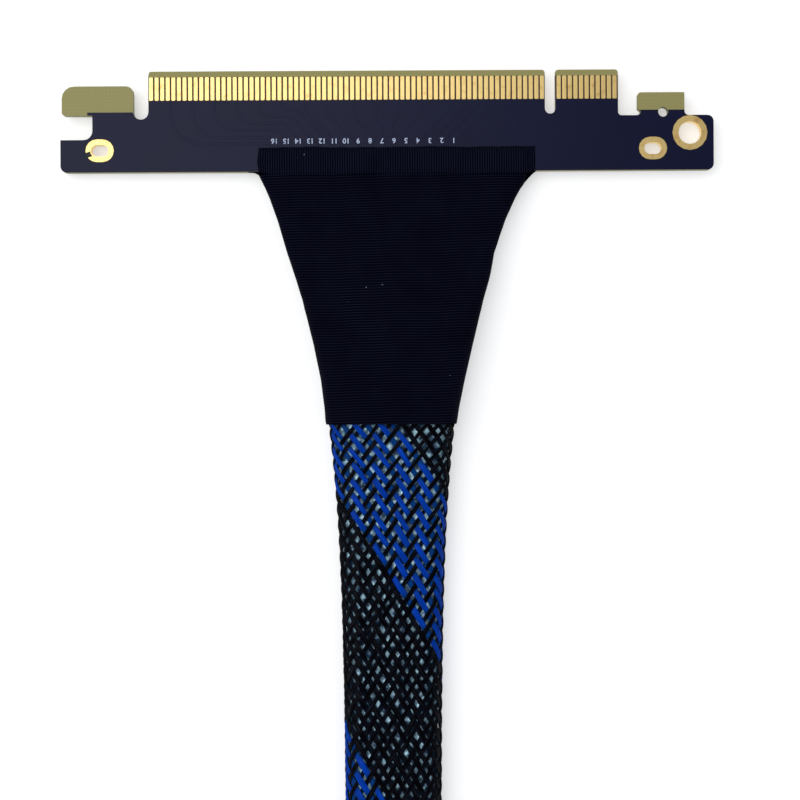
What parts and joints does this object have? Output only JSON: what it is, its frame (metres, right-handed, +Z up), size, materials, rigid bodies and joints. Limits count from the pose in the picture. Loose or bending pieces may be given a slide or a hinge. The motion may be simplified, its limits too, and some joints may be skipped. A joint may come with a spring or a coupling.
{
  "type": "gpu riser cable",
  "caption": "Sleeved riser cable with a card edge connector board at one end and a slot socket board at the other, gathered by cloth tape.",
  "frame": {"origin": "centre of the bottom of the box round the two boards and their tape, on the surface it lies on", "axes": "+Y along the cable towards the contact fingers, +X across the boards to the side of the short tongue, +Z up out of the socket's face"},
  "size_m": [0.117, 0.2952, 0.0143],
  "materials": {
    "fibreglass": "woven glass and epoxy, satin",
    "solder_mask": "dark blue black lacquer, gloss",
    "gold_plating": "gold plated copper, polished",
    "cloth_tape": "ribbed cloth, matte",
    "ribbon_foil": "thin foil, bright",
    "braid": "woven polyester monofilament",
    "housing": "moulded, fine grain"
  },
  "bodies": {
    "root": {"edge_board": "fibreglass", "edge_mask_front": "solder_mask", "edge_mask_back": "solder_mask", "edge_hole_ring": "gold_plating", "edge_slot_ring_left": "gold_plating", "edge_slot_ring_right": "gold_plating", "edge_strip_front": "cloth_tape", "edge_ribbon_front_1": "ribbon_foil", "edge_ribbon_front_2": "ribbon_foil", "edge_ribbon_front_3": "ribbon_foil", "edge_ribbon_front_4": "ribbon_foil", "edge_strip_back": "cloth_tape", "edge_ribbon_back_1": "ribbon_foil", "edge_ribbon_back_2": "ribbon_foil", "edge_ribbon_back_3": "ribbon_foil", "edge_ribbon_back_4": "ribbon_foil", "edge_wrap": "cloth_tape", "socket_strip_front": "cloth_tape", "socket_ribbon_front_1": "ribbon_foil", "socket_ribbon_front_2": "ribbon_foil", "socket_ribbon_front_3": "ribbon_foil", "socket_ribbon_front_4": "ribbon_foil", "socket_strip_back": "cloth_tape", "socket_ribbon_back_1": "ribbon_foil", "socket_ribbon_back_2": "ribbon_foil", "socket_ribbon_back_3": "ribbon_foil", "socket_ribbon_back_4": "ribbon_foil", "socket_wrap": "cloth_tape", "cable_sleeve": "braid", "socket_board": "fibreglass", "socket_mask_front": "solder_mask", "socket_mask_back": "solder_mask", "socket_housing": "housing", "socket_hole_ring_1": "gold_plating", "socket_hole_ring_2": "gold_plating", "socket_hole_ring_3": "gold_plating", "socket_hole_ring_4": "gold_plating"}
  },
  "joints": []
}
